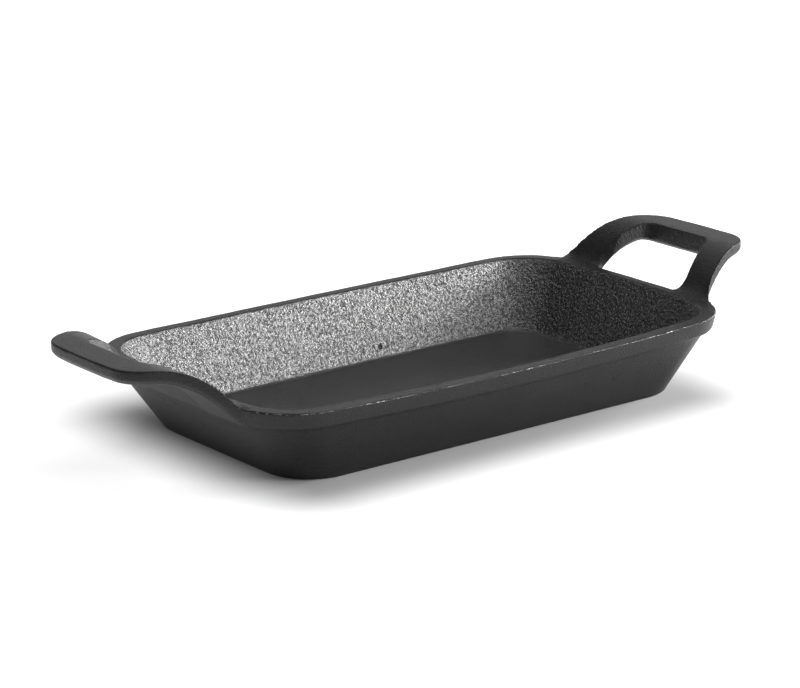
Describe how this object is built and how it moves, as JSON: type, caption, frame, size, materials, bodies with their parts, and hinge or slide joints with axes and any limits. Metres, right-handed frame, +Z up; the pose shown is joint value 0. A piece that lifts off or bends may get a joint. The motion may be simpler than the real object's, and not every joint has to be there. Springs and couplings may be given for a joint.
{
  "type": "plancha griddle",
  "caption": "Small oblong cast-iron plancha griddle: a flat floor, sloping walls, a raised rim band and a rising loop handle at each end.",
  "frame": {"origin": "centre of the flat underside, on the surface that the griddle stands on", "axes": "+X along the length towards the right handle, +Y across the width, +Z up"},
  "size_m": [0.2178, 0.0976, 0.0348],
  "materials": {
    "floor_iron": "fine sand-cast grain, matte black, seasoned",
    "wall_iron": "coarse pebbled sand-cast grain inside, finer outside, matte black",
    "rim_iron": "smooth ground rim with a bright worn outer edge",
    "handle_iron": "fine sand-cast grain, matte black"
  },
  "bodies": {
    "root": {"cooking_floor": "floor_iron", "side_wall": "wall_iron", "rim_band": "rim_iron", "left_handle": "handle_iron", "right_handle": "handle_iron"}
  },
  "joints": []
}
